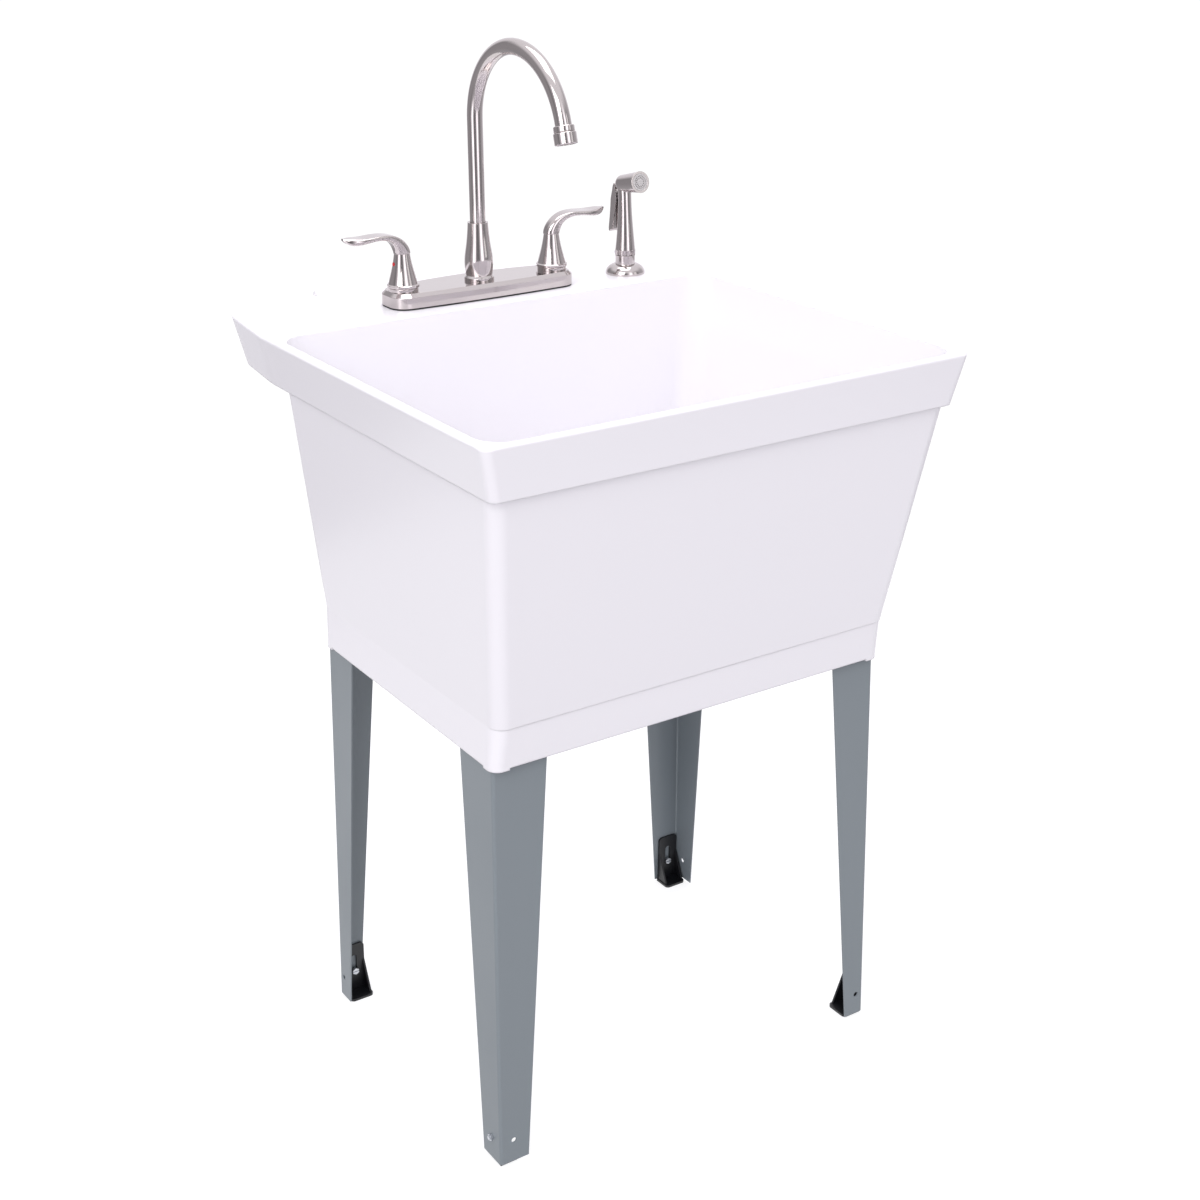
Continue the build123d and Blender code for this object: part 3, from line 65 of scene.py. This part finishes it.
camera_data = bpy.data.cameras.new("camera")
camera_data.lens = 54.82
camera_data.sensor_width = 36.0
camera_data.shift_x = 0.0026
camera_data.shift_y = -0.0012
camera_data.clip_end = 60.0
camera = bpy.data.objects.new("camera", camera_data)
studio_scene.collection.objects.link(camera)
camera_place = Vector((-1.06908, -1.66964, 1.36602))
yaw, pitch, roll = 0.583, 0.396, -0.003   # radians: right of straight ahead, down, tilt
ahead = Vector((math.sin(yaw) * math.cos(pitch), math.cos(yaw) * math.cos(pitch), -math.sin(pitch)))
level = Vector((math.cos(yaw), -math.sin(yaw), 0.0))
above = level.cross(ahead)
right = math.cos(roll) * level + math.sin(roll) * above
up = -math.sin(roll) * level + math.cos(roll) * above
camera.matrix_world = Matrix.Translation(camera_place) @ Matrix(
    (right, up, -ahead)).transposed().to_4x4()
studio_scene.camera = camera

world = bpy.data.worlds.new("panelled_surround")
world.use_nodes = True
sky = world.node_tree
sky.nodes.clear()
ray = add_node(sky, "ShaderNodeLightPath")
towards = add_node(sky, "ShaderNodeTexCoord")
round_about = add_node(sky, "ShaderNodeTexGradient", {"gradient_type": "RADIAL"},
                       {"Vector": towards.outputs["Generated"]})
panels = add_node(sky, "ShaderNodeValToRGB", inputs={"Fac": round_about.outputs["Fac"]})
panel_stops = (   # degrees round from +X, brightness of the surround there
    (-180, 0.55), (-168, 0.90), (-161, 3.00), (-151, 3.00), (-141, 0.60), (-128, 0.20), (-112, 0.32),
    (-100, 1.20), (-93, 2.60), (-85, 2.60), (-72, 0.50), (-50, 0.26), (-27, 0.62), (0, 0.66),
    (18, 1.10), (60, 1.10), (92, 1.00), (106, 0.38), (134, 0.46), (154, 0.44), (171, 0.28), (180, 0.55),
)
brightest = max(brightness for _, brightness in panel_stops)
cool_tint = (0.97, 0.95, 1.0)
ramp = panels.color_ramp
for _ in panel_stops[2:]:   # a ramp starts with two stops; the new ones wait halfway
    ramp.elements.new(0.5)
for stop, (degrees, _) in zip(ramp.elements, panel_stops):   # places first, as a ramp sorts its stops
    stop.position = (degrees + 180) / 360
for stop, (_, brightness) in zip(ramp.elements, panel_stops):
    grey = brightness / brightest
    stop.color = (*(grey * channel for channel in cool_tint), 1)

# the panels fade to one soft light above, and to another below that stands for the table
above_from, above_full = 0.35, 0.75     # height of a direction, 1 straight up
below_full, below_from = -0.6, -0.2
aloft = add_node(sky, "ShaderNodeSeparateXYZ", inputs={"Vector": towards.outputs["Generated"]})
overhead = add_node(sky, "ShaderNodeMapRange", {"interpolation_type": "SMOOTHSTEP"},
                    {"Value": aloft.outputs["Z"], "From Min": above_from, "From Max": above_full})
low_light = add_node(sky, "ShaderNodeBackground", inputs={"Color": panels.outputs["Color"],
                     "Strength": brightest})
high_light = add_node(sky, "ShaderNodeBackground", inputs={"Color": (0.97, 0.96, 1.0, 1),
                      "Strength": 1.12})
surround = add_node(sky, "ShaderNodeMixShader", inputs={0: overhead.outputs["Result"],
                    1: low_light.outputs[0], 2: high_light.outputs[0]})
beneath = add_node(sky, "ShaderNodeMapRange", {"interpolation_type": "SMOOTHSTEP"},
                   {"Value": aloft.outputs["Z"], "From Min": below_full, "From Max": below_from,
                    "To Min": 1.0, "To Max": 0.0})
under_light = add_node(sky, "ShaderNodeBackground", inputs={"Color": (*cool_tint, 1),
                       "Strength": 0.50})
all_round = add_node(sky, "ShaderNodeMixShader", inputs={0: beneath.outputs["Result"],
                     1: surround.outputs[0], 2: under_light.outputs[0]})
backdrop = add_node(sky, "ShaderNodeBackground", inputs={"Color": (1, 1, 1, 1), "Strength": 1.05})
seen = add_node(sky, "ShaderNodeMixShader", inputs={0: ray.outputs["Is Camera Ray"],
                1: all_round.outputs[0], 2: backdrop.outputs[0]})
add_node(sky, "ShaderNodeOutputWorld", inputs={"Surface": seen.outputs[0]})
studio_scene.world = world

soft_boxes = (   # name, place, aim, width, height, watts
    ("box_over_left", (-2.2, -1.6, 2.6), (0.0, 0.0, 0.7), 1.8, 1.8, 34),
    ("box_front_right", (1.9, -2.6, 1.7), (0.0, 0.0, 0.6), 1.0, 1.8, 5),
    ("box_overhead", (0.1, 0.2, 3.0), (0.0, 0.0, 0.8), 1.6, 1.6, 23),
)
for name, place, aim, width, height, watts in soft_boxes:
    lamp_data = bpy.data.lights.new(name, "AREA")
    lamp_data.shape = "RECTANGLE"
    lamp_data.size = width
    lamp_data.size_y = height
    lamp_data.energy = watts
    lamp = bpy.data.objects.new(name, lamp_data)
    lamp.location = place
    lamp.rotation_euler = (Vector(aim) - Vector(place)).to_track_quat("-Z", "Y").to_euler()
    studio_scene.collection.objects.link(lamp)

floor_reach = 1.4   # from the middle of the sink to the table's edges
floor_mesh = bpy.data.meshes.new("floor")
floor_mesh.from_pydata([(-floor_reach, -floor_reach, 0), (floor_reach, -floor_reach, 0),
                        (floor_reach, floor_reach, 0), (-floor_reach, floor_reach, 0)], [], [(0, 1, 2, 3)])
floor = bpy.data.objects.new("floor", floor_mesh)
studio_scene.collection.objects.link(floor)
floor_finish, _, _, _ = new_finish("lit_white_table", "9A9A9C", 0.0, 0.8, **{
    "Emission Color": (1, 1, 1, 1), "Emission Strength": 0.78, "Specular IOR Level": 0.0})
floor_mesh.materials.append(floor_finish)
floor.visible_diffuse = False   # under_light lights the sink from below in its stead


# ---- Tub -----------------------------------------------------------------------
# One thermoplastic moulding, glossy from a polished mould, white with a cool cast.
# The moulded skin has a faint 6 mm orange peel and its arrises are slightly round.

peel_size = 0.00625
tub_arris = 0.0025


def dress(finish, *names):
    """Gives CAD nodes a finish through their material slots."""
    for name in names:
        for holder in nodes[name].material_slots:
            holder.material = finish


tub_finish, tree, shader, place = new_finish("moulded_white_thermoplastic", "EDEBEF", 0.0, 0.24, IOR=1.49)
peel = add_node(tree, "ShaderNodeTexNoise", inputs={"Vector": place, "Scale": 1 / peel_size,
                "Detail": 1.0})
soft_arris = add_node(tree, "ShaderNodeBevel", {"samples": 4}, {"Radius": tub_arris})
skin = add_node(tree, "ShaderNodeBump", inputs={"Strength": 0.04, "Distance": 0.0004,
                "Height": peel.outputs["Fac"], "Normal": soft_arris.outputs["Normal"]})
tree.links.new(skin.outputs["Normal"], shader.inputs["Normal"])
dress(tub_finish, "tub")


# ---- Legs ----------------------------------------------------------------------
# Four angles pressed from 1.5 mm steel sheet, pushed into the sockets in the skirt.
# Baked blue-grey enamel: satin, with the fine pebble of sprayed powder and a slow
# drift in its gloss.

pebble_size = 0.00143
drift_size = 0.111
leg_finish, tree, shader, place = new_finish("baked_grey_enamel", "7A8287", 0.0, 0.34, IOR=1.5)
pebble = add_node(tree, "ShaderNodeTexNoise", inputs={"Vector": place, "Scale": 1 / pebble_size,
                  "Detail": 2.0})
drift = add_node(tree, "ShaderNodeTexNoise", inputs={"Vector": place, "Scale": 1 / drift_size,
                 "Detail": 2.0})
sheen = add_node(tree, "ShaderNodeMapRange", inputs={"Value": drift.outputs["Fac"], "From Min": 0.3,
                 "From Max": 0.7, "To Min": 0.30, "To Max": 0.40})
tree.links.new(sheen.outputs["Result"], shader.inputs["Roughness"])
grain = add_node(tree, "ShaderNodeBump", inputs={"Strength": 0.08, "Distance": 0.0002,
                 "Height": pebble.outputs["Fac"]})
tree.links.new(grain.outputs["Normal"], shader.inputs["Normal"])
dress(leg_finish, "leg_front_left", "leg_front_right", "leg_back_left", "leg_back_right")


# ---- Leveling feet -------------------------------------------------------------
# Bent and gusseted steel brackets dipped in black electrocoat, which goes on thin
# and even and dries to a soft gloss.

coat_size = 0.00111
foot_finish, tree, shader, place = new_finish("black_electrocoat", "15161A", 0.0, 0.36, IOR=1.5)
coat_grain = add_node(tree, "ShaderNodeTexNoise", inputs={"Vector": place, "Scale": 1 / coat_size})
coat = add_node(tree, "ShaderNodeBump", inputs={"Strength": 0.1, "Distance": 0.0002,
                "Height": coat_grain.outputs["Fac"]})
tree.links.new(coat.outputs["Normal"], shader.inputs["Normal"])
dress(foot_finish, "foot_front_left", "foot_front_right", "foot_back_left", "foot_back_right")

# Slotted hex machine screws and nuts, zinc plated: pale bluish steel with a cloudy
# passivated skin.

cloud_size = 0.0025
zinc_finish, tree, shader, place = new_finish("clear_zinc_plate", "C9CCD1", 1.0, 0.3)
cloud = add_node(tree, "ShaderNodeTexNoise", inputs={"Vector": place, "Scale": 1 / cloud_size,
                 "Detail": 3.0})
cloud_range = add_node(tree, "ShaderNodeMapRange", inputs={"Value": cloud.outputs["Fac"],
                       "To Min": 0.22, "To Max": 0.42})
tree.links.new(cloud_range.outputs["Result"], shader.inputs["Roughness"])
dress(zinc_finish, "foot_screws", "foot_nuts")


# ---- Deck gasket, rubber washers and seals -------------------------------------
# Black moulded rubber, matt, squeezed between the plate and the ledge; the same
# rubber makes the drain's gasket, its stopper and the seals inside.

bloom_size = 0.002
rubber_finish, tree, shader, place = new_finish("black_moulded_rubber", "17171A", 0.0, 0.55, IOR=1.52)
bloom = add_node(tree, "ShaderNodeTexNoise", inputs={"Vector": place, "Scale": 1 / bloom_size,
                 "Detail": 2.0})
bloom_bump = add_node(tree, "ShaderNodeBump", inputs={"Strength": 0.15, "Distance": 0.0002,
                      "Height": bloom.outputs["Fac"]})
tree.links.new(bloom_bump.outputs["Normal"], shader.inputs["Normal"])
dress(rubber_finish, "deck_gasket", "spout_o_rings", "cartridge_seats", "drain_gasket",
      "tailpiece_washer", "drain_stopper")


# ---- Deck plate ----------------------------------------------------------------
# Zinc casting, brushed lengthways and plated in satin nickel: a warm grey metal
# whose brush lines, drawn 0.4 mm apart so that they show, run along the plate.

line_width = 0.0004
nickel_arris = 0.0007


def brushed_nickel(name, line_sizes):
    """Satin nickel with brush lines: noise drawn out along the brushing direction
    varies the roughness and lifts a shallow bump. The sizes are a line's, in X, Y, Z."""
    finish, tree, shader, place = new_finish(name, "C4BDBC", 1.0, 0.2)
    lay = add_node(tree, "ShaderNodeMapping", inputs={"Vector": place,
                   "Scale": [1 / size for size in line_sizes]})
    lines = add_node(tree, "ShaderNodeTexNoise", inputs={"Vector": lay.outputs["Vector"], "Scale": 1.0,
                     "Detail": 3.0, "Roughness": 0.6})
    satin = add_node(tree, "ShaderNodeMapRange", inputs={"Value": lines.outputs["Fac"], "From Min": 0.3,
                     "From Max": 0.7, "To Min": 0.08, "To Max": 0.14})
    tree.links.new(satin.outputs["Result"], shader.inputs["Roughness"])
    arris = add_node(tree, "ShaderNodeBevel", {"samples": 4}, {"Radius": nickel_arris})
    scratch = add_node(tree, "ShaderNodeBump", inputs={"Strength": 0.03, "Distance": 0.0001,
                       "Height": lines.outputs["Fac"], "Normal": arris.outputs["Normal"]})
    tree.links.new(scratch.outputs["Normal"], shader.inputs["Normal"])
    return finish


plate_finish = brushed_nickel("satin_nickel_brushed_along", (0.0333, line_width, line_width))
dress(plate_finish, "deck_plate")


# ---- Faucet body, shanks and their nuts ----------------------------------------
# Machined brass, left bare because plated covers and the ledge hide it: a yellow metal
# with fine turning marks. Wing nuts on black washers clamp it to the ledge.

tool_mark_length, tool_mark_pitch = 0.0167, 0.000556
brass_finish, tree, shader, place = new_finish("machined_brass", "C9A55E", 1.0, 0.3)
turning = add_node(tree, "ShaderNodeMapping", inputs={"Vector": place, "Scale": (
    1 / tool_mark_length, 1 / tool_mark_length, 1 / tool_mark_pitch)})
rings = add_node(tree, "ShaderNodeTexNoise", inputs={"Vector": turning.outputs["Vector"], "Scale": 1.0})
ring_bump = add_node(tree, "ShaderNodeBump", inputs={"Strength": 0.2, "Distance": 0.0002,
                     "Height": rings.outputs["Fac"]})
tree.links.new(ring_bump.outputs["Normal"], shader.inputs["Normal"])
dress(brass_finish, "faucet_body", "sprayer_hose_nipple", "spout_nut", "spout_sleeve", "hot_stem",
      "cold_stem")

# Moulded nylon: milky white and waxy, with soft flow marks.
flow_size = 0.00455
nylon_finish, tree, shader, place = new_finish("moulded_white_nylon", "E4E2DC", 0.0, 0.42, IOR=1.53)
flow = add_node(tree, "ShaderNodeTexNoise", inputs={"Vector": place, "Scale": 1 / flow_size,
                "Detail": 2.0})
flow_bump = add_node(tree, "ShaderNodeBump", inputs={"Strength": 0.06, "Distance": 0.0003,
                     "Height": flow.outputs["Fac"]})
tree.links.new(flow_bump.outputs["Normal"], shader.inputs["Normal"])
dress(nylon_finish, "shank_nuts", "tailpiece", "drain_coupling_nut", "drain_locknut",
      "sprayer_holder_nut", "diverter", "hot_cartridge", "cold_cartridge", "aerator_insert")

# Moulded black plastic, dull from the fine sparked grain of its mould.
spark_size = 0.000833
black_plastic, tree, shader, place = new_finish("moulded_black_plastic", "1B1C1F", 0.0, 0.4, IOR=1.5)
spark = add_node(tree, "ShaderNodeTexNoise", inputs={"Vector": place, "Scale": 1 / spark_size})
spark_bump = add_node(tree, "ShaderNodeBump", inputs={"Strength": 0.1, "Distance": 0.0001,
                      "Height": spark.outputs["Fac"]})
tree.links.new(spark_bump.outputs["Normal"], shader.inputs["Normal"])
dress(black_plastic, "shank_washers", "sprayer_holder_washer", "sprayer_gland",
      "drain_washer")


# ---- Spout ---------------------------------------------------------------------
# A turned hub, a bent brass tube and a threaded aerator, brushed round and plated in
# the same satin nickel. The lines are drawn level, also where the tube bends over.

turned_finish = brushed_nickel("satin_nickel_brushed_round", (0.0111, 0.0111, line_width))
dress(turned_finish, "spout_hub", "spout_tube", "aerator_adapter", "aerator_housing")


# ---- Handles -------------------------------------------------------------------
# A bell turned and brushed round, with a cast leaf lever screwed on top and brushed
# along its length.

dress(turned_finish, "handle_collars", "hot_handle_base", "cold_handle_base")
lever_line_width = 0.0005
lever_finish = brushed_nickel("satin_nickel_lever", (0.0167, lever_line_width, lever_line_width))
dress(lever_finish, "hot_lever", "cold_lever")

# Small gloss buttons set in the bells: red for hot, blue for cold.
speck_size = 0.00125
for side, shade in (("hot", "C2242B"), ("cold", "2348B0")):
    button_finish, tree, shader, place = new_finish(side + "_button_enamel", shade, 0.0, 0.25)
    speck = add_node(tree, "ShaderNodeTexNoise", inputs={"Vector": place, "Scale": 1 / speck_size})
    speck_bump = add_node(tree, "ShaderNodeBump", inputs={"Strength": 0.05, "Distance": 0.0001,
                          "Height": speck.outputs["Fac"]})
    tree.links.new(speck_bump.outputs["Normal"], shader.inputs["Normal"])
    dress(button_finish, side + "_index_button")


# ---- Side sprayer --------------------------------------------------------------
# Moulded body and trigger plated to match the faucet, on a turned holder; the face
# of the spray head is dull grey plastic.

spray_line_width = 0.00111
spray_finish = brushed_nickel("satin_nickel_sprayer", (spray_line_width, spray_line_width, 0.0167))
dress(spray_finish, "sprayer_body", "sprayer_trigger")
dress(turned_finish, "sprayer_holder", "sprayer_coupling")
matt_size = 0.00111
face_finish, tree, shader, place = new_finish("moulded_grey_spray_face", "B9B6B5", 0.0, 0.4)
matt = add_node(tree, "ShaderNodeTexNoise", inputs={"Vector": place, "Scale": 1 / matt_size})
matt_bump = add_node(tree, "ShaderNodeBump", inputs={"Strength": 0.1, "Distance": 0.0001,
                     "Height": matt.outputs["Fac"]})
tree.links.new(matt_bump.outputs["Normal"], shader.inputs["Normal"])
dress(face_finish, "sprayer_nozzle")


# ---- Drain and small steel -----------------------------------------------------
# Pressed stainless strainer, its dull polish a little cloudy; the hidden screws, pin,
# valve rod and spring are the same plain steel.

polish_size = 0.00333
steel_finish, tree, shader, place = new_finish("stainless_dull_polish", "C5C6C8", 1.0, 0.28)
polish = add_node(tree, "ShaderNodeTexNoise", inputs={"Vector": place, "Scale": 1 / polish_size,
                  "Detail": 3.0})
polish_range = add_node(tree, "ShaderNodeMapRange", inputs={"Value": polish.outputs["Fac"],
                        "To Min": 0.2, "To Max": 0.36})
tree.links.new(polish_range.outputs["Result"], shader.inputs["Roughness"])
dress(steel_finish, "drain_strainer", "hot_handle_screw", "cold_handle_screw", "sprayer_trigger_pin",
      "sprayer_spring", "sprayer_plunger")
